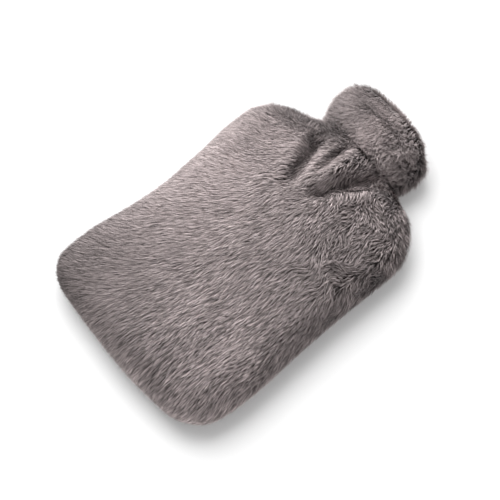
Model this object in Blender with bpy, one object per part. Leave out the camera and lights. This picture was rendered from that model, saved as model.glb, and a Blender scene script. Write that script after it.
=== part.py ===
"""Plush cover for a hot water bottle, lying on its back. Metres, +Z up.

The cover is a hollow bag with a thick plush wall, open at the mouth of its
collar. Tables and sizes below are in millimetres: y runs from the bottom edge
to the mouth, and x runs from the left side to the right. Every section has a
flat or gently crowned middle and rolls down to the side seam, which lies level
at mid height.
"""

import math

import bmesh
import bpy

MM = 0.001

WALL = 10.0  # plush cloth with its pile
SEAM_Z = 28.0  # height of the side seam over the table
SEAM_GAP = 0.3  # between two pieces at a seam
ROLL = 28.0  # radius of the rolled sides and bottom edge
CROWN = 6.0  # drop of the front from its middle to its sides
CORNER_LEFT = 30.0
CORNER_RIGHT = 42.0
NECK_Y = 303.0  # seam between the body and the collar
MOUTH_Y = 351.5
LIP = 5.0  # radius of the turned hem at the mouth
LIP_RUN = 3.0  # straight stretch before the hem turns
STEEPEST = 3.0  # cap on the squared slope of the outline
INNER_FOLD_SHARE = 0.5  # how much of a fold shows on the inside of the cloth
ORIGIN_X = -3.04  # middle of the footprint
ORIGIN_Y = 178.25

# The bottom edge bows down towards its middle.
BOW_DEPTH = 8.0
BOW_MIDDLE = 15.0
BOW_HALF = 95.0
BOW_MOST = 1.3  # share of the half width past which it bows no further
BOW_CURVE = 1.5
BOW_FADE = 80.0  # y where the rows run straight again

# The mouth of the collar is cut square, and its sides draw back.
MOUTH_DRAW_LEFT = 7.0
MOUTH_DRAW_RIGHT = 13.0
MOUTH_CURVE = 2.5

# y, reach to the left, reach to the right, top over the seam, depth under it
SECTIONS = (
    (0.0, 112.5, 105.0, 26.0, 30.0),
    (45.0, 114.8, 106.6, 31.5, 30.0),
    (65.0, 114.0, 108.7, 33.0, 30.0),
    (105.0, 107.0, 107.7, 34.5, 30.0),
    (145.0, 102.6, 106.3, 35.0, 30.0),
    (185.0, 104.0, 106.2, 35.0, 30.0),
    (235.0, 107.6, 108.4, 33.5, 30.0),
    (255.0, 106.4, 107.4, 32.0, 30.0),
    (275.0, 96.8, 98.6, 29.0, 29.5),
    (285.0, 84.5, 91.7, 26.5, 28.0),
    (295.0, 64.0, 79.5, 23.5, 25.5),
    (303.0, 52.0, 52.0, 22.0, 24.5),
    (315.0, 56.5, 53.5, 26.0, 28.5),
    (335.0, 60.5, 55.5, 28.5, 30.0),
    (350.0, 59.0, 53.0, 27.0, 30.0),
    (362.0, 56.0, 49.0, 25.0, 28.5),
)

# Folds of the front. start, middle and end are (x, y) in plan; rise is
# positive for a ridge and negative for a crease; width is from the middle of
# the fold to where it has mostly faded.
FRONT_FOLDS = (
    # start, middle, end, rise, width
    ((-44.0, 292.0), (-39.0, 258.0), (-21.0, 218.0), 6.5, 9.0),
    ((-33.0, 288.0), (-25.0, 256.0), (-14.0, 222.0), -10.5, 6.5),
    ((-16.0, 306.0), (-15.0, 264.0), (-11.0, 234.0), 5.5, 5.0),
    ((-9.0, 310.0), (-8.0, 276.0), (-11.0, 244.0), -6.0, 3.6),
    ((6.0, 315.0), (3.0, 266.0), (-8.0, 228.0), 8.5, 6.5),
    ((38.0, 312.0), (19.0, 266.0), (-1.0, 228.0), -14.0, 8.0),
    ((64.0, 292.0), (24.0, 270.0), (5.0, 230.0), 6.5, 8.5),
    ((7.0, 240.0), (17.0, 255.0), (28.0, 236.0), -4.5, 4.0),
    ((-46.0, 330.0), (0.0, 349.0), (48.0, 329.0), -3.2, 4.5),
)

# Softer gathers of the back, which the table hides.
BACK_FOLDS = (
    ((-34.0, 304.0), (-32.0, 280.0), (-38.0, 258.0), -5.0, 8.0),
    ((-10.0, 304.0), (-8.0, 276.0), (-12.0, 250.0), -6.0, 8.0),
    ((14.0, 304.0), (16.0, 280.0), (22.0, 262.0), -5.0, 8.0),
    ((38.0, 304.0), (38.0, 284.0), (48.0, 266.0), -5.0, 8.0),
)
FOLD_STEPS = 8
FOLD_EASE = 0.25  # share of a fold's length over which each end fades

ROLL_STEPS = 6  # rows round the rolled bottom edge
BAND = 48.0  # half width of the middle band, whose columns run straight
FRONT_BAND_COLUMNS = 32
BACK_BAND_COLUMNS = 10
COLLAR_BAND_COLUMNS = 20
# Where the columns stand between the edge of a row and its middle band.
SIDE_SHARES = (0.0, 0.012, 0.05, 0.11, 0.19, 0.30, 0.46, 0.70)
FRONT_BODY_STEP = 20.0
FRONT_NECK_STEP = 3.6
BACK_BODY_STEP = 26.0
BACK_NECK_STEP = 7.0
NECK_FROM = 214.0  # y where the closer rows of the gathers start
COLLAR_STEP = 5.0
COLLAR_INNER_STEP = 12.0
LIP_ANGLES = (0, 35, 90, 145, 180)

PLUSH_COLOUR = (0.300, 0.255, 0.240, 1.0)
PLUSH_ROUGHNESS = 0.95


def through(rows, column):
    """A smooth function of y through one column of a table, with no overshoot."""
    ys = [row[0] for row in rows]
    values = [row[column] for row in rows]
    slopes = [
        (values[i + 1] - values[i]) / (ys[i + 1] - ys[i]) for i in range(len(ys) - 1)
    ]
    inner = [
        0.0 if a * b <= 0.0 else 2.0 * a * b / (a + b)
        for a, b in zip(slopes, slopes[1:])
    ]
    tangents = [slopes[0], *inner, slopes[-1]]

    def value_at(y):
        i = 0
        while i < len(ys) - 2 and y > ys[i + 1]:
            i += 1
        span = ys[i + 1] - ys[i]
        t = min(1.0, max(0.0, (y - ys[i]) / span))
        return (
            values[i] * (1.0 + 2.0 * t) * (1.0 - t) ** 2
            + values[i + 1] * t * t * (3.0 - 2.0 * t)
            + tangents[i] * span * t * (1.0 - t) ** 2
            - tangents[i + 1] * span * t * t * (1.0 - t)
        )

    return value_at


reach_left = through(SECTIONS, 1)
reach_right = through(SECTIONS, 2)
rise_over = through(SECTIONS, 3)
depth_under = through(SECTIONS, 4)


def slant(reach, y):
    """How much longer a step along x is than the step square to the outline."""
    slope = (reach(y + 1.0) - reach(y - 1.0)) / 2.0
    return math.sqrt(1.0 + min(STEEPEST, slope * slope))


def corner_inset(side, bottom, radius):
    """Distance to an outline with a rounded corner, from those to its two edges."""
    return radius - math.hypot(max(0.0, radius - side), max(0.0, radius - bottom))


def distance_in(x, y):
    """Distance from a point of the plan to the nearest part of the outline."""
    left = (x + reach_left(y)) / slant(reach_left, y)
    right = (reach_right(y) - x) / slant(reach_right, y)
    return min(
        corner_inset(left, y, CORNER_LEFT), corner_inset(right, y, CORNER_RIGHT)
    )


def edge_x(y, inset, reach, radius):
    """How far the outline, moved inwards by inset, reaches to one side."""
    if y >= radius:
        side = inset
    else:
        arc = (radius - inset) ** 2 - (radius - y) ** 2
        side = radius - math.sqrt(max(0.0, arc))
    return reach(y) - side * slant(reach, y)


def rolled(share):
    """Height of a round edge, from 0 at the seam to 1 where it has turned over."""
    t = min(1.0, max(0.0, share))
    return math.sqrt(max(0.0, 1.0 - (1.0 - t) ** 2))


def eased(t):
    t = min(1.0, max(0.0, t))
    return t * t * (3.0 - 2.0 * t)


def fold_line(start, middle, end):
    """Points along the soft curve of a fold, bent towards its middle point."""
    line = []
    for k in range(FOLD_STEPS + 1):
        t = k / FOLD_STEPS
        a, b, c = (1.0 - t) ** 2, 2.0 * t * (1.0 - t), t * t
        line.append(
            (
                a * start[0] + b * middle[0] + c * end[0],
                a * start[1] + b * middle[1] + c * end[1],
            )
        )
    return line


def fold_rows(folds):
    return [
        (fold_line(start, middle, end), rise, width)
        for start, middle, end, rise, width in folds
    ]


def fold_height(x, y, rows):
    """Sum of the ridges and creases of the cloth at a point of the plan."""
    total = 0.0
    for line, rise, width in rows:
        best, along = 1e9, 0.0
        for k in range(FOLD_STEPS):
            (ax, ay), (bx, by) = line[k], line[k + 1]
            length = (bx - ax) ** 2 + (by - ay) ** 2
            t = ((x - ax) * (bx - ax) + (y - ay) * (by - ay)) / length
            t = min(1.0, max(0.0, t))
            gap = math.hypot(x - ax - t * (bx - ax), y - ay - t * (by - ay))
            if gap < best:
                best, along = gap, (k + t) / FOLD_STEPS
        ends = eased(along / FOLD_EASE) * eased((1.0 - along) / FOLD_EASE)
        total += rise * ends * math.exp(-((best / width) ** 2))
    return total


front_folds = fold_rows(FRONT_FOLDS)
back_folds = fold_rows(BACK_FOLDS)


def bottom_bow(x, y):
    share = min(BOW_MOST, abs(x - BOW_MIDDLE) / BOW_HALF)
    return BOW_DEPTH * share**BOW_CURVE * max(0.0, 1.0 - y / BOW_FADE) ** 2


def mouth_draw(x, y):
    """How far the sides of the collar stand back from the middle of its mouth."""
    if x < 0.0:
        depth, share = MOUTH_DRAW_LEFT, -x / reach_left(y)
    else:
        depth, share = MOUTH_DRAW_RIGHT, x / reach_right(y)
    along = eased((y - NECK_Y) / (MOUTH_Y - NECK_Y))
    return depth * min(1.0, share) ** MOUTH_CURVE * along


def surface_point(x, y, inset, front):
    """A point of the cloth over plan point (x, y), inset from its outer face."""
    over = rolled((distance_in(x, y) - inset) / (ROLL - inset))
    share = 1.0 if inset == 0.0 else INNER_FOLD_SHARE
    if front:
        across = 2.0 * x / (reach_left(y) + reach_right(y))
        top = rise_over(y) - inset - CROWN * across**2
        fold = share * fold_height(x, y, front_folds)
        z = SEAM_Z + over * (top + fold)
    else:
        fold = share * fold_height(x, y, back_folds)
        z = SEAM_Z - over * (depth_under(y) - inset + fold)
        z = max(z, inset)
    place_y = y + bottom_bow(x, y) - mouth_draw(x, y)
    return (
        (x - ORIGIN_X) * MM,
        (place_y - ORIGIN_Y) * MM,
        z * MM,
    )


def columns_at(y, inset, band_columns):
    """The x of each column of a row: close round the sides, even in the band."""
    left = -edge_x(y, inset, reach_left, CORNER_LEFT)
    right = edge_x(y, inset, reach_right, CORNER_RIGHT)
    band = BAND - inset
    xs = [left + share * (-band - left) for share in SIDE_SHARES]
    xs += [2.0 * band * k / band_columns - band for k in range(band_columns + 1)]
    xs += [right - share * (right - band) for share in reversed(SIDE_SHARES)]
    return xs


def even_steps(start, stop, step):
    """Values from start to stop, both included, at about the given step."""
    count = max(1, round((stop - start) / step))
    return [start + (stop - start) * k / count for k in range(count + 1)]


def panel_rows(inset, body_step, neck_step):
    """The y of each row of a panel, from its bottom edge to the collar seam."""
    roll = ROLL - inset
    rows = [
        inset + roll * (1.0 - math.cos(math.pi / 2.0 * k / ROLL_STEPS))
        for k in range(ROLL_STEPS)
    ]
    rows.extend(even_steps(ROLL, NECK_FROM, body_step))
    rows.extend(even_steps(NECK_FROM, NECK_Y - SEAM_GAP / 2.0, neck_step)[1:])
    return rows


def panel_grid(inset, front, band_columns, body_step, neck_step):
    grid = []
    side = SEAM_GAP / 2.0 * (1.0 if front else -1.0)
    for y in panel_rows(inset, body_step, neck_step):
        row = []
        for x in columns_at(y, inset, band_columns):
            px, py, pz = surface_point(x, y, inset, front)
            limit = (SEAM_Z + side) * MM
            pz = max(pz, limit) if front else min(pz, limit)
            row.append((px, py, pz))
        grid.append(row)
    return grid


def closed_object(name, bm):
    """Finishes a closed mesh with its faces outwards and links it as an object."""
    bmesh.ops.recalc_face_normals(bm, faces=bm.faces)
    bmesh.ops.triangulate(bm, faces=bm.faces)
    mesh = bpy.data.meshes.new(name)
    bm.to_mesh(mesh)
    bm.free()
    mesh.shade_smooth()
    mesh.set_sharp_from_angle(angle=math.radians(50.0))
    mesh.materials.append(plush_material(f"{name}_plush"))
    piece = bpy.data.objects.new(name, mesh)
    bpy.context.scene.collection.objects.link(piece)
    return piece


def plush_material(name):
    material = bpy.data.materials.new(name)
    material.use_nodes = True
    shader = material.node_tree.nodes["Principled BSDF"]
    shader.inputs["Base Color"].default_value = PLUSH_COLOUR
    shader.inputs["Roughness"].default_value = PLUSH_ROUGHNESS
    shader.inputs["Metallic"].default_value = 0.0
    return material


def make_panel(name, front, band_columns, body_step, neck_step):
    """One panel: its outer and inner faces, joined round all four edges."""
    bm = bmesh.new()
    sheets = []
    for inset in (0.0, WALL):
        grid = panel_grid(inset, front, band_columns, body_step, neck_step)
        sheets.append([[bm.verts.new(p) for p in row] for row in grid])
    outer, inner = sheets
    rows, columns = len(outer), len(outer[0])
    for sheet in sheets:
        for i in range(rows - 1):
            for j in range(columns - 1):
                bm.faces.new(
                    (
                        sheet[i][j],
                        sheet[i][j + 1],
                        sheet[i + 1][j + 1],
                        sheet[i + 1][j],
                    )
                )
    rim = [(0, j) for j in range(columns)]
    rim += [(i, columns - 1) for i in range(1, rows)]
    rim += [(rows - 1, j) for j in range(columns - 2, -1, -1)]
    rim += [(i, 0) for i in range(rows - 2, 0, -1)]
    for (i, j), (k, m) in zip(rim, rim[1:] + rim[:1]):
        bm.faces.new((outer[i][j], outer[k][m], inner[k][m], inner[i][j]))
    return closed_object(name, bm)


def collar_ring(bm, y, inset, band_columns):
    """One ring of the collar: along its front from left to right and back under."""
    xs = columns_at(y, inset, band_columns)
    ring = [surface_point(x, y, inset, True) for x in xs]
    ring += [surface_point(x, y, inset, False) for x in reversed(xs[1:-1])]
    return [bm.verts.new(p) for p in ring]


def make_collar():
    """The neck sleeve: out along its outer face, over the lip and back inside."""
    bm = bmesh.new()
    start = NECK_Y + SEAM_GAP / 2.0
    spots = [(y, 0.0) for y in even_steps(start, MOUTH_Y - LIP_RUN, COLLAR_STEP)]
    for angle in LIP_ANGLES:
        turn = math.radians(angle)
        spots.append((MOUTH_Y + LIP * math.sin(turn), LIP * (1.0 - math.cos(turn))))
    inside = even_steps(start, MOUTH_Y - LIP_RUN, COLLAR_INNER_STEP)
    spots += [(y, 2.0 * LIP) for y in reversed(inside)]
    rings = [collar_ring(bm, y, inset, COLLAR_BAND_COLUMNS) for y, inset in spots]
    for ring, following in zip(rings, rings[1:] + rings[:1]):
        count = len(ring)
        for k in range(count):
            m = (k + 1) % count
            bm.faces.new((ring[k], ring[m], following[m], following[k]))
    return closed_object("collar", bm)


def main():
    for item in list(bpy.data.objects):
        bpy.data.objects.remove(item, do_unlink=True)
    make_panel("front_panel", True, FRONT_BAND_COLUMNS, FRONT_BODY_STEP, FRONT_NECK_STEP)
    make_panel("back_panel", False, BACK_BAND_COLUMNS, BACK_BODY_STEP, BACK_NECK_STEP)
    make_collar()


main()
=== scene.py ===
"""A plush hot water bottle cover, lying on its back on a pale floor."""
import math

import bmesh
import bpy
import numpy as np
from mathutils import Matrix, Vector, noise
from mathutils.bvhtree import BVHTree


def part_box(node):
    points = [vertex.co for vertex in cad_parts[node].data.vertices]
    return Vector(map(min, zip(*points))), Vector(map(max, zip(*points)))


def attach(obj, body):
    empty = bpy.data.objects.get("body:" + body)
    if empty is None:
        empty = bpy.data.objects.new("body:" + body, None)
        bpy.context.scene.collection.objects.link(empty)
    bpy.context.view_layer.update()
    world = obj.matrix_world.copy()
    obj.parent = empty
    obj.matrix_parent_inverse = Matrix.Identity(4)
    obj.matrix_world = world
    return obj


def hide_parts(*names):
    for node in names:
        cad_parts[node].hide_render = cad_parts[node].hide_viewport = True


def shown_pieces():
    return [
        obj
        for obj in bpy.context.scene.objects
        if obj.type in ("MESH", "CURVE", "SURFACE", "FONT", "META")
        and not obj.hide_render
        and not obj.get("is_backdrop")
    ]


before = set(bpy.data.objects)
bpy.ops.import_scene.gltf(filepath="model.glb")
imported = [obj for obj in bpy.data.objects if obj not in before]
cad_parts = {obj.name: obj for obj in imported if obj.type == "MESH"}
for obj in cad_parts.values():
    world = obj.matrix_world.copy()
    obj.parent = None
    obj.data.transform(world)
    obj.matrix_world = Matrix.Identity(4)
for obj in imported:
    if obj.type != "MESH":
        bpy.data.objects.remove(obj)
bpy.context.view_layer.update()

MM = 0.001

# ---------------------------------------------------------------- floor, light and camera
# A white sweep of paper under a broad soft light, the cover lit low from behind its left side, and
# white air that fills both.

FLOOR_HALF = 6.0
FLOOR_WHITE = 0.93
AIR = 0.3
ABOVE_AT = (-0.8, 0.25, 1.6)
ABOVE_SIZE = 1.6
ABOVE_POWER = 37.0
FILL_AT = (0.1, -0.1, 2.2)
FILL_SIZE = 2.0
FILL_POWER = 16.0
SIDE_AT = (-0.62, 0.5, 0.5)
SIDE_SIZE = 0.6
SIDE_POWER = 28.0
NEAR_AT = (0.9, -0.9, 0.7)
NEAR_SIZE = 1.2
NEAR_POWER = 24.0
LOOK_AT = Vector((0.00304, -0.01311, 0.028))
CAMERA_AWAY = 2.3125
CAMERA_BACK = Vector((0.2559, -0.2269, 0.9397))


def add(tree, kind, links=(), **settings):
    """Adds one node; links gives its inputs by name or number, as values or as nodes' outputs."""
    node = tree.nodes.new(kind)
    for name, value in settings.items():
        setattr(node, name, value)
    for name, value in dict(links).items():
        if isinstance(value, bpy.types.NodeSocket):
            tree.links.new(value, node.inputs[name])
        else:
            node.inputs[name].default_value = value
    return node


def new_object(name, mesh):
    made = bpy.data.objects.new(name, mesh)
    bpy.context.scene.collection.objects.link(made)
    return made


def new_material(name, **sockets):
    """A node material with one Principled shader, whose sockets are set by name."""
    made = bpy.data.materials.new(name)
    made.use_nodes = True
    shader = made.node_tree.nodes["Principled BSDF"]
    for key, value in sockets.items():
        shader.inputs[key.replace("_", " ")].default_value = value
    return made, made.node_tree, shader


floor_mesh = bpy.data.meshes.new("floor")
floor_mesh.from_pydata(
    [(-FLOOR_HALF, -FLOOR_HALF, 0), (FLOOR_HALF, -FLOOR_HALF, 0), (FLOOR_HALF, FLOOR_HALF, 0),
     (-FLOOR_HALF, FLOOR_HALF, 0)], [], [(0, 1, 2, 3)])
floor = new_object("floor", floor_mesh)
paper, _, _ = new_material("paper", Base_Color=(FLOOR_WHITE,) * 3 + (1,), Roughness=1.0,
                           Specular_IOR_Level=0.0)
floor_mesh.materials.append(paper)
floor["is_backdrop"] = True

world = bpy.data.worlds.new("air")
world.use_nodes = True
world.node_tree.nodes["Background"].inputs["Color"].default_value = (1, 1, 1, 1)
world.node_tree.nodes["Background"].inputs["Strength"].default_value = AIR
bpy.context.scene.world = world


def soft_box(name, place, size, power, onto, shaded_by=None):
    """A square soft light that looks at the cover and lights the objects of one collection."""
    data = bpy.data.lights.new(name, "AREA")
    data.shape = "SQUARE"
    data.size = size
    data.energy = power
    lamp = new_object(name, data)
    lamp.location = place
    lamp.rotation_mode = "QUATERNION"
    lamp.rotation_quaternion = (LOOK_AT - Vector(place)).to_track_quat("-Z", "Y")
    lamp.light_linking.receiver_collection = onto
    lamp.light_linking.blocker_collection = shaded_by


paper_only = bpy.data.collections.new("lit_from_above")
paper_only.objects.link(floor)
cover_only = bpy.data.collections.new("lit_from_the_side")
soft_box("soft_box_above", ABOVE_AT, ABOVE_SIZE, ABOVE_POWER, paper_only)
soft_box("soft_box_fill", FILL_AT, FILL_SIZE, FILL_POWER, paper_only, paper_only)
soft_box("soft_box_side", SIDE_AT, SIDE_SIZE, SIDE_POWER, cover_only)
soft_box("soft_box_near", NEAR_AT, NEAR_SIZE, NEAR_POWER, cover_only)

camera_data = bpy.data.cameras.new("camera")
camera_data.lens = 180
camera_data.sensor_width = 36
camera = new_object("camera", camera_data)
camera.location = LOOK_AT + CAMERA_BACK * CAMERA_AWAY
camera.rotation_mode = "QUATERNION"
camera.rotation_quaternion = (-CAMERA_BACK).to_track_quat("-Z", "Y")
bpy.context.scene.camera = camera
bpy.context.scene.view_settings.view_transform = "Standard"

# ---------------------------------------------------------------- front_cloth
# The upper cut of plush: a knitted backing 2 mm thick, sewn to the back cut round its edge. Its
# pile stands 8 mm above it, up to the face of the solid that the cloth stands for.

CLOTH_SHARE = 0.2
RIM = 0.02 * MM
WAVE_HEIGHT = 1.4  # in millimetres, as in the table below
WAVE_SIZE = 45 * MM
HOLLOWS = (  # middle, half its width across and along, depth
    ((-27, -13), (9, 6), 2.6), ((-5, -83), (15, 7), 2.6), ((58, -88), (11, 7), 1.8),
    ((-62, -60), (16, 9), 1.5), ((40, 20), (14, 9), 2.0), ((72, 34), (9, 12), 1.8),
    ((-20, -140), (18, 8), 1.5), ((3, 159), (34, 5), -2.2),
)


def merged_node(name):
    """Points and triangles of one of the solids, with the points that touch made one."""
    mesh = bmesh.new()
    mesh.from_mesh(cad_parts[name].data)
    bmesh.ops.remove_doubles(mesh, verts=mesh.verts, dist=1e-6)
    bmesh.ops.triangulate(mesh, faces=mesh.faces)
    mesh.verts.index_update()
    points = np.array([v.co[:] for v in mesh.verts])
    faces = np.array([[v.index for v in f.verts] for f in mesh.faces])
    mesh.free()
    return points, faces


def on_rim(points, faces, planes):
    """True for the faces that lie in one of the planes, each an axis and a place on it."""
    flat = [np.all(np.abs(points[faces][:, :, axis] - at) < RIM, axis=1) for axis, at in planes]
    return np.any(flat, axis=0)


def joined(count, faces, start):
    """Steps along the faces' edges from the start points to every point; -1 where none leads."""
    beside = [set() for _ in range(count)]
    for a, b, c in faces:
        beside[a] |= {b, c}
        beside[b] |= {a, c}
        beside[c] |= {a, b}
    steps = np.full(count, -1)
    steps[list(start)] = 0
    edge = list(start)
    while edge:
        reached = []
        for here in edge:
            for there in beside[here]:
                if steps[there] < 0:
                    steps[there] = steps[here] + 1
                    reached.append(there)
        edge = reached
    return steps


def ramp(values, none, full):
    """0 at or beyond none, 1 at or beyond full and eased in between; full may be the smaller."""
    share = np.clip((values - none) / (full - none), 0, 1)
    return share * share * (3 - 2 * share)


def in_mm(points):
    """The points' x, y and z in millimetres."""
    return (points / MM).T


def wander(points, size, shift):
    """Smooth noise from -1 to 1 at each point, its patches about size across."""
    offset = Vector((shift, 1.7 * shift, -0.6 * shift))
    return np.array([noise.noise(Vector(p) / size + offset) for p in points])


def eased(points):
    """Points of the cover with slow waves and a few soft hollows in its upper side."""
    rise = WAVE_HEIGHT * wander(points * [1, 1, 0], WAVE_SIZE, 5.2)
    for middle, half, depth in HOLLOWS:
        away = (points[:, :2] / MM - middle) / half
        rise -= depth * np.exp(-np.sum(away * away, axis=1))
    rise *= ramp(in_mm(points)[2], 28, 42) * MM
    return points + rise[:, None] * [0, 0, 1]


def smooth_mesh(name, points, faces, sharp=(), levels=1):
    """The faces as a mesh, smoothed by subdivision, with the edges of the sharp faces kept."""
    mesh = bpy.data.meshes.new(name)
    mesh.from_pydata(points.tolist(), [], faces.tolist())
    if len(sharp):
        corner = {tuple(sorted((a, b))) for f in faces[sharp] for a, b in zip(f, np.roll(f, 1))}
        crease = mesh.attributes.new("crease_edge", "FLOAT", "EDGE")
        crease.data.foreach_set("value", [float(tuple(sorted(e.vertices)) in corner)
                                          for e in mesh.edges])
    shown = new_object(name, mesh)
    smoothing = shown.modifiers.new("smoothing", "SUBSURF")
    smoothing.levels = smoothing.render_levels = levels
    smoothed = bpy.data.meshes.new_from_object(
        shown.evaluated_get(bpy.context.evaluated_depsgraph_get()))
    bpy.data.objects.remove(shown)
    bpy.data.meshes.remove(mesh)
    smoothed.name = name
    smoothed.vertices.foreach_set("co", eased(positions(smoothed)).astype(np.float32).ravel())
    smoothed.shade_smooth()
    return smoothed


def positions(mesh):
    found = np.empty(len(mesh.vertices) * 3, np.float32)
    mesh.vertices.foreach_get("co", found)
    return found.reshape(-1, 3).astype(float)


def unit(vectors):
    return vectors / np.maximum(np.linalg.norm(vectors, axis=1, keepdims=True), 1e-9)


def panel_cloth(name, planes, highest):
    """The points of a panel's solid, the cloth's inside it, the faces, which of them lie on a seam,
    and which points are on the outside, where the pile grows."""
    points, faces = merged_node(name)
    rim = on_rim(points, faces, planes)
    first = int(np.argmax(points[:, 2] if highest else -points[:, 2]))
    outer = joined(len(points), faces[~rim], [first]) >= 0
    lining = [f for f in faces[~rim].tolist() if not outer[f[0]]]
    inside = BVHTree.FromPolygons(points.tolist(), lining)
    cloth = points.copy()
    for i in np.nonzero(outer)[0]:
        near = np.array(inside.find_nearest(points[i])[0])
        cloth[i] = near + (points[i] - near) * CLOTH_SHARE
    return points, cloth, faces, rim, outer


def backing_material():
    """The knitted backing of the plush: rows of small loops, matt, a little uneven in colour."""
    made, tree, shader = new_material("knitted_backing", Roughness=0.95, Sheen_Weight=0.2)
    place = add(tree, "ShaderNodeTexCoord").outputs["Object"]
    loops = add(tree, "ShaderNodeTexWave",
                {"Vector": place, "Scale": 700.0, "Distortion": 3.0, "Detail": 1.0,
                 "Detail Scale": 4.0}, bands_direction="X")
    mottle = add(tree, "ShaderNodeTexNoise", {"Vector": place, "Scale": 120.0, "Detail": 3.0})
    colour = add(tree, "ShaderNodeMix", {0: mottle.outputs["Fac"], 6: (0.13, 0.105, 0.1, 1),
                                         7: (0.2, 0.165, 0.16, 1)}, data_type="RGBA")
    bump = add(tree, "ShaderNodeBump", {"Height": loops.outputs["Fac"], "Strength": 0.5,
                                        "Distance": 0.0004})
    tree.links.new(colour.outputs[2], shader.inputs["Base Color"])
    tree.links.new(bump.outputs["Normal"], shader.inputs["Normal"])
    return made


backing = backing_material()
SEAM_FRONT = (2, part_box("front_panel")[0].z)
SEAM_BACK = (2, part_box("back_panel")[1].z)
NECK_END = (1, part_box("front_panel")[1].y)
front = panel_cloth("front_panel", [SEAM_FRONT, NECK_END], True)
front_cloth = new_object("front_cloth", smooth_mesh("front_cloth", *front[1:4]))
front_cloth.data.materials.append(backing)
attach(front_cloth, "root")
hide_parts("front_panel")

# ---------------------------------------------------------------- back_cloth
# The lower cut of plush, the same knitted backing; the cover rests on its pile.

back = panel_cloth("back_panel", [SEAM_BACK, NECK_END], False)
back_cloth = new_object("back_cloth", smooth_mesh("back_cloth", *back[1:4]))
back_cloth.data.materials.append(backing)
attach(back_cloth, "root")
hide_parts("back_panel")

# ---------------------------------------------------------------- collar_cloth
# A short sleeve of the same plush, sewn to both cuts and turned in at its mouth.

PILE = 8 * MM
LIP_PILE = 4.2 * MM
HEM_PILE = 1.5 * MM
HEM_DEPTH = 11 * MM
LIP_FACING = 0.85  # how squarely a point looks out of the mouth that belongs to its lip
TURNING = 0.8  # how squarely a point looks out or in where the pile has its full length


def vertex_normals(points, faces):
    sums = np.zeros_like(points)
    corners = points[faces]
    across = np.cross(corners[:, 1] - corners[:, 0], corners[:, 2] - corners[:, 0])
    for k in range(3):
        np.add.at(sums, faces[:, k], across)
    return unit(sums)


def outward(points):
    """Which way is out from the middle of the flattened sleeve, level with each point."""
    low, high = (np.array(corner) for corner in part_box("collar"))
    away = (points - (low + high) / 2) / ((high - low) / 2) ** 2
    return unit(away * [1, 0, 1])


def collar_surface():
    """The collar's cloth: pile outside and over the lip, and a short way in behind it."""
    points, faces = merged_node("collar")
    rim = on_rim(points, faces, [COLLAR_END])
    normals, out = vertex_normals(points, faces[~rim]), outward(points)
    facing = np.sum(normals * out, axis=1)
    lip = np.nonzero(normals[:, 1] > LIP_FACING)[0]
    behind = points[lip[np.argmax(out @ out[lip].T, axis=1)], 1] - points[:, 1]
    outside = LIP_PILE + (PILE - LIP_PILE) * ramp(facing, 0.0, TURNING)
    inside = LIP_PILE + (HEM_PILE - LIP_PILE) * ramp(-facing, 0.0, TURNING)
    inside *= 1 - ramp(behind, HEM_DEPTH * 0.6, HEM_DEPTH)
    depth = np.where(facing > 0, outside, inside)
    cloth = points - normals * depth[:, None]
    ends = np.abs(points[:, 1] - COLLAR_END[1]) < RIM
    cloth[ends, 1] = COLLAR_END[1]
    return points, cloth, faces, rim, (facing > 0) | (behind < HEM_DEPTH)


COLLAR_END = (1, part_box("collar")[0].y)
collar = collar_surface()
collar_cloth = new_object("collar_cloth", smooth_mesh("collar_cloth", *collar[1:4]))
collar_cloth.data.materials.append(backing)
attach(collar_cloth, "root")
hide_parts("collar")

# ---------------------------------------------------------------- front_underfur
# The dense short part of the front's pile. It lies from the collar towards the bottom edge.

SKIN_LEVELS = 2
LOWEST_HAIR = 0.3 * MM  # over the floor
TUFT_SHARE = 0.3  # of what makes a hair lower than the highest, the part that its tuft shares
TUFT_TONE = 0.12  # how much paler or darker a whole tuft may be
REACHES = (0.65, 1.15)  # the shortest and the longest hair, as shares of the pile's length
ROUNDING = 2.0  # how soon a hair reaches its height
LEANING = 1.25  # how late it goes forward
TAPER = 3.0  # how late it narrows
CURL_TURN = 3.6  # radians of its curl from root to tip
CELL_SIZE = (0.72, 0.8)  # the part of its cell in the UV map that a hair fills
LEFT_SLANT = 46  # degrees
COMBS = (  # middle, half its width across and along, turn in degrees
    ((-25, 86), (9, 9), 50), ((14, 88), (8, 13), -45), ((62, 88), (26, 15), -62),
    ((45, 40), (16, 16), -28), ((-5, 45), (18, 9), 18),
)
PARTED = (  # where the pile stands open in a crease: middle, half its width across and along
    ((16, 90), (9, 16)), ((-20, 70), (6, 17)), ((72, 30), (20, 22)),
)
SLEEK = (((-38, 84), (7, 26)), ((3, 82), (5, 20)))  # the crests of the folds, where it lies smooth


def blobs(points, spots):
    """1 in the middle of each spot, given as a middle and two half widths in mm, and 0 far away."""
    away = [(points[:, :2] / MM - middle) / half for middle, half in spots]
    return np.clip(sum(np.exp(-np.sum(a * a, axis=1)) for a in away), 0, 1)


def tousled(points):
    """1 where the pile is ruffled, on the right shoulder and the right of the collar, else 0."""
    x, y, _ = in_mm(points)
    return np.maximum(ramp(x, 20, 60) * ramp(y, -30, 20), ramp(x, 5, 30) * ramp(y, 50, 80))


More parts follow.
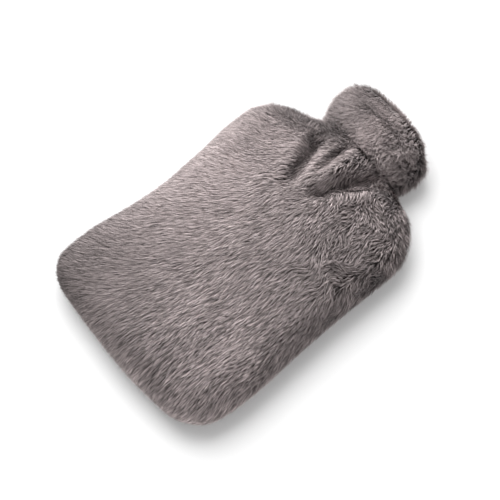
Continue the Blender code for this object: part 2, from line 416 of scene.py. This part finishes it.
def lie_angle(points):
    """Which way the pile is combed: the turn from straight down the cover, positive to its left."""
    x, y, _ = in_mm(points)
    degrees = LEFT_SLANT * ramp(x, 30, -90)
    degrees += 14 * ramp(x, -50, -100) * ramp(y, -20, -120)
    degrees -= 12 * ramp(x, 50, 110) * ramp(y, -100, -160)
    for middle, half, turn in COMBS:
        degrees += turn * blobs(points, [(middle, half)])
    degrees += 13 * wander(points, 42 * MM, 3.1)
    degrees += 12 * (1 - 0.6 * ramp(y, 0, -80)) * wander(points, 16 * MM, 9.4)
    degrees += 85 * tousled(points) * wander(points, 13 * MM, 17.3)
    degrees += 60 * ramp(y, 120, 140) * ramp(x, -20, 20) * wander(points, 14 * MM, 23.9)
    return np.radians(degrees)


def painted_light_and_shade(points):
    """Painted light and shade on the dyed pile: paler to the left, where the light falls, darker on
    the right.
    """
    x, y, z = in_mm(points)
    # Painted light: paler to the left, where the side light falls, and darker to the right.
    pale = 1.28 - 0.52 * ramp(x, -100, 80)
    pale *= 1 - 0.36 * ramp(y, 20, -130) * ramp(x, 30, -40)  # painted shade at the bottom left
    pale *= 1 + 0.35 * ramp(y, -30, -130) * ramp(x, 0, 90)  # painted light at the bottom right
    pale *= 1 - 0.26 * ramp(y, -100, -160) * ramp(x, -50, 30)  # painted shade over its last few centimetres
    pale *= 1 - 0.08 * ramp(y, 120, 140) + 0.2 * ramp(y, 50, 80) * ramp(x, -30, 0)  # painted shade on the collar, painted light on the neck
    edge = np.maximum(ramp(x, -30, -75), ramp(y, 60, 90) * ramp(x, 10, -30))
    pale *= 1 - 0.5 * ramp(z, 58, 36) * edge  # painted shade down the left side and the left shoulder
    # Painted shade in the creases and along the crests of the folds.
    pale *= 1 - 0.1 * blobs(points, PARTED) - 0.1 * blobs(points, SLEEK)
    # The noise patches are the dye's own uneven tone.
    return pale * (1 + 0.09 * wander(points, 35 * MM, 31.7) + 0.1 * wander(points, 14 * MM, 37.7))


def looseness(points):
    """How open the pile is: sleek on the left and on top of the collar, tousled on the right."""
    x, y, _ = in_mm(points)
    loose = 0.42 + 0.58 * ramp(x, -90, 20) * (1 - 0.5 * ramp(y, 0, -80))
    loose += 0.12 * tousled(points) + 0.35 * blobs(points, PARTED)
    sleek = np.maximum(ramp(y, 130, 145) * ramp(x, 25, 0), blobs(points, SLEEK))
    loose = loose * (1 - sleek) + 0.35 * sleek
    return np.maximum(loose * (1 + 0.3 * wander(points, 30 * MM, 44.1)), 0.25)


def contrast(points):
    """How much the hairs differ in tone: little on the sleek left, most at the bottom right."""
    x, y, _ = in_mm(points)
    return looseness(points) + ramp(y, 0, -100) * (0.2 + 0.8 * ramp(x, -60, 50))


def shortness(points):
    """The pile's length as a share of its full length: clipped closer round the neck."""
    x, y, _ = in_mm(points)
    return 1.0 - 0.32 * ramp(y, 0, 60) - 0.1 * ramp(x, 0, -80)


def fuzziness(points):
    """Where more of the hairs stand away from the outline: round the shoulders and the collar."""
    _, y, z = in_mm(points)
    return ramp(y, 60, 95) * ramp(z, 62, 48)


def ruffledness(points):
    """Where hairs stand back against the way that the pile lies: on top of the left shoulder."""
    x, y, z = in_mm(points)
    return ramp(y, 80, 100) * ramp(y, 114, 106) * ramp(x, -10, -30) * ramp(z, 62, 48)


def combed(points, up):
    """The unit direction in which the pile lies, along the surface."""
    x, y, _ = in_mm(points)
    turn = lie_angle(points)[:, None]
    droop = -0.5 * (1 - np.abs(up[:, 2])) * ramp(x, 100, 0)
    along = np.stack([np.zeros(len(points)), -np.ones(len(points)), droop], axis=1)
    sleeve = np.cross(np.cross([0, 1, 0], outward(points)), up)
    on_head = ramp(y, 130, 150)[:, None]
    along = along * (1 - on_head) + sleeve * on_head
    along = unit(along - up * np.sum(along * up, axis=1)[:, None])
    return along * np.cos(turn) + np.cross(along, up) * np.sin(turn)


SKIN_VALUES = {"pale": painted_light_and_shade, "loose": looseness, "contrast": contrast, "long": shortness,
               "fuzz": fuzziness, "ruffle": ruffledness}


def grow_surface(name, cut):
    """The cloth's outer face, carrying how high the pile stands over it and which way it lies."""
    points, cloth, faces, rim, outer = cut
    kept = faces[~rim & np.all(outer[faces], axis=1)]
    used = np.unique(kept)
    index = np.full(len(points), -1)
    index[used] = np.arange(len(used))
    roots = smooth_mesh(name, cloth[used], index[kept], levels=SKIN_LEVELS)
    tips = smooth_mesh(name + "_tips", points[used], index[kept], levels=SKIN_LEVELS)
    stand = positions(tips) - positions(roots)
    bpy.data.meshes.remove(tips)
    up = unit(stand)
    for key, values in (("stand", stand), ("lay", combed(positions(roots), up))):
        layer = roots.attributes.new(key, "FLOAT_VECTOR", "POINT")
        layer.data.foreach_set("vector", values.astype(np.float32).ravel())
    for key, rule in SKIN_VALUES.items():
        layer = roots.attributes.new(key, "FLOAT", "POINT")
        layer.data.foreach_set("value", rule(positions(roots)).astype(np.float32))
    return roots


def calc(tree, operation, *values):
    return add(tree, "ShaderNodeMath", enumerate(values), operation=operation).outputs[0]


def vec(tree, operation, *values):
    """Vector arithmetic; SCALE takes a vector and a number."""
    sockets = (0, 3) if operation == "SCALE" else range(len(values))
    node = add(tree, "ShaderNodeVectorMath", zip(sockets, values), operation=operation)
    return node.outputs["Value" if operation in ("DOT_PRODUCT", "LENGTH") else "Vector"]


def named(tree, name, kind="FLOAT"):
    return add(tree, "GeometryNodeInputNamedAttribute", {"Name": name},
               data_type=kind).outputs["Attribute"]


def stored(tree, geometry, name, value, kind="FLOAT", domain="POINT"):
    return add(tree, "GeometryNodeStoreNamedAttribute",
               {"Geometry": geometry, "Name": name, "Value": value},
               data_type=kind, domain=domain).outputs["Geometry"]


def chance(tree, low, high, seed):
    """A random number for each point."""
    return add(tree, "FunctionNodeRandomValue", {2: low, 3: high, 8: seed},
               data_type="FLOAT").outputs[1]


PILE_INPUTS = (  # each with the kind of its socket
    ("Geometry", "Geometry"), ("Blade", "Object"), ("Skin", "Object"), ("Material", "Material"),
    ("Seed", "Int"), ("Tuft seed", "Int"), ("Blades a m2", "Float"), ("Tufts a m2", "Float"),
    ("Cells", "Float"), ("Length", "Float"), ("Width", "Float"), ("Lowest", "Float"),
    ("Highest", "Float"), ("Pull", "Float"), ("Tuft turn", "Float"), ("Blade turn", "Float"),
    ("Curl", "Float"), ("Stray", "Float"), ("Bright", "Float"), ("Vary", "Float"),
    ("Upstream", "Float"),
)


def scattered(tree, given, kind):
    """Points spread over the cloth: the roots of the blades, or the middles of the tufts."""
    density, seed = {"blades": ("Blades a m2", "Seed"), "tufts": ("Tufts a m2", "Tuft seed")}[kind]
    return add(tree, "GeometryNodeDistributePointsOnFaces",
               {"Mesh": given["Geometry"], "Density": given[density], "Seed": given[seed]},
               ).outputs["Points"]


def planted_roots(tree, given):
    """The blades' roots, each with a height, tone, reach and way to lie, some of it its tuft's."""
    roots, tufts = scattered(tree, given, "blades"), scattered(tree, given, "tufts")
    here = tree.nodes.new("GeometryNodeInputPosition").outputs[0]
    nearest = add(tree, "GeometryNodeSampleNearest",
                  {"Geometry": tufts, "Sample Position": here}).outputs[0]
    loose = named(tree, "loose")

    def of_tuft(kind, value):
        return add(tree, "GeometryNodeSampleIndex",
                   {"Geometry": tufts, "Value": value, "Index": nearest}, data_type=kind).outputs[0]

    def own_chance(low, high, step):
        return chance(tree, low, high, calc(tree, "ADD", given["Seed"], float(step)))

    def tuft_chance(low, high, step):
        seed = calc(tree, "ADD", given["Tuft seed"], float(step))
        return of_tuft("FLOAT", chance(tree, low, high, seed))

    up = vec(tree, "NORMALIZE", named(tree, "stand", "FLOAT_VECTOR"))
    tuft_lay = of_tuft("FLOAT_VECTOR", named(tree, "lay", "FLOAT_VECTOR"))
    off = vec(tree, "SCALE", up, vec(tree, "DOT_PRODUCT", tuft_lay, up))
    level = vec(tree, "NORMALIZE", vec(tree, "SUBTRACT", tuft_lay, off))
    turn = calc(tree, "ADD",
                calc(tree, "MULTIPLY", tuft_chance(-1.0, 1.0, 1), given["Tuft turn"]),
                calc(tree, "MULTIPLY", own_chance(-1.0, 1.0, 2), given["Blade turn"]))
    turn = calc(tree, "MULTIPLY", turn, loose)
    lay = vec(tree, "ADD", vec(tree, "SCALE", level, calc(tree, "COSINE", turn)),
              vec(tree, "SCALE", vec(tree, "CROSS_PRODUCT", level, up), calc(tree, "SINE", turn)))
    gather = vec(tree, "SCALE", vec(tree, "SUBTRACT", of_tuft("FLOAT_VECTOR", here), here),
                 calc(tree, "MULTIPLY", given["Pull"], loose))

    spread = calc(tree, "SUBTRACT", given["Highest"], given["Lowest"])
    spread = calc(tree, "MULTIPLY", spread, loose)
    drop = calc(tree, "ADD", own_chance(0.0, 1 - TUFT_SHARE, 3), tuft_chance(0.0, TUFT_SHARE, 2))
    rise = calc(tree, "SUBTRACT", given["Highest"], calc(tree, "MULTIPLY", drop, spread))
    tone = calc(tree, "ADD", calc(tree, "MULTIPLY", own_chance(-1.0, 1.0, 5), given["Vary"]),
                tuft_chance(-TUFT_TONE, TUFT_TONE, 3))
    tone = calc(tree, "MULTIPLY_ADD", tone, named(tree, "contrast"), given["Bright"])
    # Painted light and shade: each hair's tone is scaled by the skin's painted lighting.
    tone = calc(tree, "MULTIPLY", tone, named(tree, "pale"))
    # Few hairs stray far from the others, and more of them where the skin is fuzzy.
    rarity = calc(tree, "MULTIPLY_ADD", named(tree, "fuzz"), -2.2, 3.0)
    stray = calc(tree, "POWER", own_chance(0.0, 1.0, 10), rarity)
    reach = calc(tree, "MULTIPLY", given["Length"], own_chance(*REACHES, 7))
    reach = calc(tree, "MULTIPLY", reach, named(tree, "long"))
    # A stray hair on ruffled skin lies the other way.
    back = calc(tree, "MULTIPLY", stray, named(tree, "ruffle"))
    back = calc(tree, "MULTIPLY", back, given["Stray"])
    reach = calc(tree, "MULTIPLY", reach, calc(tree, "MULTIPLY_ADD", back, -1.5, 1.0))
    behind = calc(tree, "MULTIPLY", own_chance(0.2, 1.0, 11), given["Upstream"])
    number = tree.nodes.new("GeometryNodeInputIndex").outputs[0]
    for name, value in (("root", here), ("up", up), ("gather", gather), ("lay", lay)):
        roots = stored(tree, roots, name, value, "FLOAT_VECTOR")
    for name, value in (("rise", rise), ("tone", tone), ("reach", reach), ("behind", behind),
                        ("stray", stray), ("number", number), ("roll", own_chance(-0.9, 0.9, 8)),
                        ("phase", own_chance(0.0, 2 * math.pi, 9))):
        roots = stored(tree, roots, name, value)
    return roots


def laid_blades(tree, given, blades):
    """The blades bent over along the skin, each narrowing to its tip, a few straying from it."""
    along, across = named(tree, "along"), named(tree, "across")
    left = calc(tree, "SUBTRACT", 1.0, along)
    early = calc(tree, "SUBTRACT", 1.0, calc(tree, "POWER", left, ROUNDING))
    lay, up = named(tree, "lay", "FLOAT_VECTOR"), named(tree, "up", "FLOAT_VECTOR")
    side = vec(tree, "CROSS_PRODUCT", lay, up)
    ahead = calc(tree, "SUBTRACT", calc(tree, "POWER", along, LEANING), named(tree, "behind"))
    ahead = calc(tree, "MULTIPLY", named(tree, "reach"), ahead)
    phase = named(tree, "phase")
    swing = calc(tree, "SUBTRACT",
                 calc(tree, "SINE", calc(tree, "MULTIPLY_ADD", along, CURL_TURN, phase)),
                 calc(tree, "SINE", phase))
    flat = vec(tree, "ADD", named(tree, "root", "FLOAT_VECTOR"), vec(tree, "SCALE", lay, ahead))
    flat = vec(tree, "ADD", flat, vec(tree, "SCALE", named(tree, "gather", "FLOAT_VECTOR"), early))
    flat = vec(tree, "ADD", flat,
               vec(tree, "SCALE", side, calc(tree, "MULTIPLY", swing, given["Curl"])))

    skin = add(tree, "GeometryNodeObjectInfo", {"Object": given["Skin"]}).outputs["Geometry"]
    ground, stand = (
        add(tree, "GeometryNodeSampleNearestSurface",
            {"Mesh": skin, "Value": value, "Sample Position": flat},
            data_type="FLOAT_VECTOR").outputs["Value"]
        for value in (tree.nodes.new("GeometryNodeInputPosition").outputs[0],
                      named(tree, "stand", "FLOAT_VECTOR")))
    height = calc(tree, "MULTIPLY", named(tree, "rise"), early)
    blades = stored(tree, blades, "lift", height)
    spot = vec(tree, "ADD", ground, vec(tree, "SCALE", stand, height))
    away = calc(tree, "MULTIPLY", height, calc(tree, "MULTIPLY_ADD", named(tree, "fuzz"), 0.4, 1.1))
    free = vec(tree, "ADD", flat, vec(tree, "SCALE", stand, away))
    freed = calc(tree, "MULTIPLY", named(tree, "stray"), given["Stray"])
    freed = calc(tree, "MULTIPLY", freed, along)
    spot = vec(tree, "ADD", spot, vec(tree, "SCALE", vec(tree, "SUBTRACT", free, spot), freed))

    roll = named(tree, "roll")
    tilt = vec(tree, "ADD", vec(tree, "SCALE", side, calc(tree, "COSINE", roll)),
               vec(tree, "SCALE", up, calc(tree, "SINE", roll)))
    taper = calc(tree, "SUBTRACT", 1.0, calc(tree, "POWER", along, TAPER))
    half = calc(tree, "MULTIPLY", calc(tree, "MULTIPLY", across, taper),
                calc(tree, "MULTIPLY", given["Width"], 0.5))
    spot = vec(tree, "ADD", spot, vec(tree, "SCALE", tilt, half))
    split = add(tree, "ShaderNodeSeparateXYZ", {0: spot}).outputs
    above_floor = calc(tree, "MAXIMUM", split[2], LOWEST_HAIR)
    spot = add(tree, "ShaderNodeCombineXYZ", {0: split[0], 1: split[1], 2: above_floor}).outputs[0]
    return add(tree, "GeometryNodeSetPosition", {"Geometry": blades, "Position": spot}).outputs[0]


def with_cells(tree, given, blades):
    """Each blade in a cell of its own in the UV map, so that a baked colour is its own too."""
    number, cells = named(tree, "number"), given["Cells"]
    wide, high = CELL_SIZE
    row = calc(tree, "FLOOR", calc(tree, "DIVIDE", number, cells))
    column = calc(tree, "SUBTRACT", number, calc(tree, "MULTIPLY", row, cells))
    u = calc(tree, "ADD", column, calc(tree, "MULTIPLY_ADD", named(tree, "across"), wide / 2, 0.5))
    v = calc(tree, "ADD", row,
             calc(tree, "MULTIPLY_ADD", named(tree, "along"), high, (1 - high) / 2))
    cell = add(tree, "ShaderNodeCombineXYZ",
               {0: calc(tree, "DIVIDE", u, cells), 1: calc(tree, "DIVIDE", v, cells)}).outputs[0]
    return stored(tree, blades, "OFBake", cell, "FLOAT2", "CORNER")


def pile_tree():
    """Fur: blades spread over a cloth, drawn together in tufts, laid over and kept on the skin."""
    tree = bpy.data.node_groups.new("pile", "GeometryNodeTree")
    for name, kind in PILE_INPUTS:
        tree.interface.new_socket(name, in_out="INPUT", socket_type="NodeSocket" + kind)
    tree.interface.new_socket("Geometry", in_out="OUTPUT", socket_type="NodeSocketGeometry")
    given = tree.nodes.new("NodeGroupInput").outputs
    blade = add(tree, "GeometryNodeObjectInfo", {"Object": given["Blade"]}).outputs["Geometry"]
    blades = add(tree, "GeometryNodeInstanceOnPoints",
                 {"Points": planted_roots(tree, given), "Instance": blade}).outputs["Instances"]
    blades = add(tree, "GeometryNodeRealizeInstances", {"Geometry": blades}).outputs["Geometry"]
    blades = with_cells(tree, given, laid_blades(tree, given, blades))
    for name in ("root", "up", "gather", "rise", "reach", "roll", "phase", "number", "lay",
                 "across", "stand", "stray", "behind", *SKIN_VALUES):
        blades = add(tree, "GeometryNodeRemoveAttribute",
                     {"Geometry": blades, "Name": name}).outputs[0]
    blades = add(tree, "GeometryNodeSetMaterial",
                 {"Geometry": blades, "Material": given["Material"]}).outputs[0]
    blades = add(tree, "GeometryNodeSetShadeSmooth", {"Geometry": blades}).outputs[0]
    add(tree, "NodeGroupOutput", {0: blades})
    return tree


def blade_object():
    """One blade: a band that narrows to a point."""
    steps = (0.0, 0.45)
    points = [(side * 0.5, t, 0) for t in steps for side in (-1, 1)] + [(0, 1, 0)]
    faces = [(0, 1, 3, 2), (2, 3, 4)]
    mesh = bpy.data.meshes.new("blade")
    mesh.from_pydata(points, [], faces)
    along = mesh.attributes.new("along", "FLOAT", "POINT")
    along.data.foreach_set("value", [p[1] for p in points])
    across = mesh.attributes.new("across", "FLOAT", "POINT")
    across.data.foreach_set("value", [2 * p[0] for p in points])
    return new_object("blade", mesh)


def skin_object(surfaces):
    """The outer faces of all three cloths as one, which the pile keeps to."""
    joined_up = bmesh.new()
    for surface in surfaces:
        joined_up.from_mesh(surface)
    mesh = bpy.data.meshes.new("skin")
    joined_up.to_mesh(mesh)
    joined_up.free()
    return new_object("skin", mesh)


def pile_material():
    """Dyed plush fibre, dark low in the pile, partly its root's own colour and partly painted shade
    between the hairs, and paler at the tip, each tuft a little different.
    """
    made, tree, shader = new_material("plush_pile", Roughness=0.8, Specular_IOR_Level=0.25,
                                      Sheen_Weight=0.08)
    lift = add(tree, "ShaderNodeAttribute", attribute_name="lift").outputs["Fac"]
    tone = add(tree, "ShaderNodeAttribute", attribute_name="tone").outputs["Fac"]
    place = add(tree, "ShaderNodeTexCoord").outputs["Object"]
    patch = add(tree, "ShaderNodeTexNoise", {"Vector": place, "Scale": 28.0, "Detail": 2.0})
    # Painted shade between the hairs: the lower a hair lies in the pile, the darker it is.
    height = add(tree, "ShaderNodeMapRange", {"Value": lift, "From Min": 0.35, "From Max": 0.95})
    fibre = add(tree, "ShaderNodeMix", {0: height.outputs[0], 6: SHADED_ROOT_COLOUR, 7: TIP_COLOUR},
                data_type="RGBA").outputs[2]
    uneven = calc(tree, "MULTIPLY_ADD", patch.outputs["Fac"], 0.24, 0.88)
    shade = add(tree, "ShaderNodeVectorMath", {0: fibre, 3: calc(tree, "MULTIPLY", tone, uneven)},
                operation="SCALE").outputs[0]
    tree.links.new(shade, shader.inputs["Base Color"])
    return made


def grow(name, surface, blades, seed, **sizes):
    """A piece of pile on a surface, made by the tree and kept as a plain mesh."""
    piece = new_object(name, surface.copy())
    area = sum(p.area for p in surface.polygons)
    cells = float(math.ceil(math.sqrt(blades * SPARE_CELLS)))
    inputs = {"Blade": blade, "Skin": skin, "Material": fibre, "Seed": seed, "Tuft seed": TUFT_SEED,
              "Blades a m2": blades / area, "Cells": cells, **sizes}
    growth = piece.modifiers.new("growth", "NODES")
    growth.node_group = pile
    for item in pile.interface.items_tree:
        if item.in_out == "INPUT" and item.name in inputs:
            growth[item.identifier] = inputs[item.name]
    made = bpy.data.meshes.new_from_object(
        piece.evaluated_get(bpy.context.evaluated_depsgraph_get()))
    piece.modifiers.clear()
    piece.data = made
    made.name = name
    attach(piece, "root")
    return piece


TUFT_SEED = 7
SPARE_CELLS = 1.03  # more cells than hairs, as the count that grows is a little uneven
# The pile's colour low down: the roots' own dark together with painted shade between the hairs.
SHADED_ROOT_COLOUR = (0.03, 0.021, 0.02, 1)
TIP_COLOUR = (0.455, 0.39, 0.385, 1)
front_skin = grow_surface("front_skin", front)
back_skin = grow_surface("back_skin", back)
collar_skin = grow_surface("collar_skin", collar)
blade = blade_object()
skin = skin_object([front_skin, back_skin, collar_skin])
pile = pile_tree()
fibre = pile_material()
front_underfur = grow("front_underfur", front_skin, 62000, 3, Length=9 * MM, Width=0.8 * MM,
                      Lowest=0.4, Highest=0.78, Pull=0.25, Curl=0.2 * MM, Stray=0.2, Bright=0.95,
                      Vary=0.2, Upstream=0.5,
                      **{"Tufts a m2": 450000.0, "Tuft turn": 0.3, "Blade turn": 0.2})

# ---------------------------------------------------------------- front_pile
# The pile that shows: hairs drawn together in tufts about 1.5 mm apart, which read as fine streaks.

front_pile = grow("front_pile", front_skin, 62000, 11, Length=11 * MM, Width=0.62 * MM,
                  Lowest=0.4, Highest=1.0, Pull=0.6, Curl=0.12 * MM, Stray=0.7, Bright=0.98,
                  Vary=0.5, Upstream=0.5,
                  **{"Tufts a m2": 450000.0, "Tuft turn": 0.2, "Blade turn": 0.08})

# ---------------------------------------------------------------- front_guard_hair
# Longer and finer hairs among the pile, which stand a little over it and give it its soft edge.

front_guard_hair = grow("front_guard_hair", front_skin, 62000, 29, Length=12 * MM, Width=0.52 * MM,
                        Lowest=0.5, Highest=1.08, Pull=0.6, Curl=0.12 * MM, Stray=1.0, Bright=1.05,
                        Vary=0.65, Upstream=0.5,
                        **{"Tufts a m2": 450000.0, "Tuft turn": 0.2, "Blade turn": 0.1})

# ---------------------------------------------------------------- back_pile
# The pile of the lower cut, pressed flat where the cover lies on it.

back_pile = grow("back_pile", back_skin, 60000, 41, Length=11 * MM, Width=0.6 * MM,
                 Lowest=0.5, Highest=1.0, Pull=0.6, Curl=0.3 * MM, Stray=0.6, Bright=1.0,
                 Vary=0.38, Upstream=0.5,
                 **{"Tufts a m2": 300000.0, "Tuft turn": 0.22, "Blade turn": 0.14})

# ---------------------------------------------------------------- collar_pile
# The sleeve's pile, which runs over the lip of the mouth and a little way in.

collar_pile = grow("collar_pile", collar_skin, 50000, 53, Length=9 * MM, Width=0.45 * MM,
                   Lowest=0.5, Highest=1.05, Pull=0.5, Curl=0.3 * MM, Stray=1.0, Bright=1.0,
                   Vary=0.42, Upstream=0.2,
                   **{"Tufts a m2": 300000.0, "Tuft turn": 0.5, "Blade turn": 0.35})

for helper in (blade, skin):
    bpy.data.objects.remove(helper)

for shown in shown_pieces():
    cover_only.objects.link(shown)
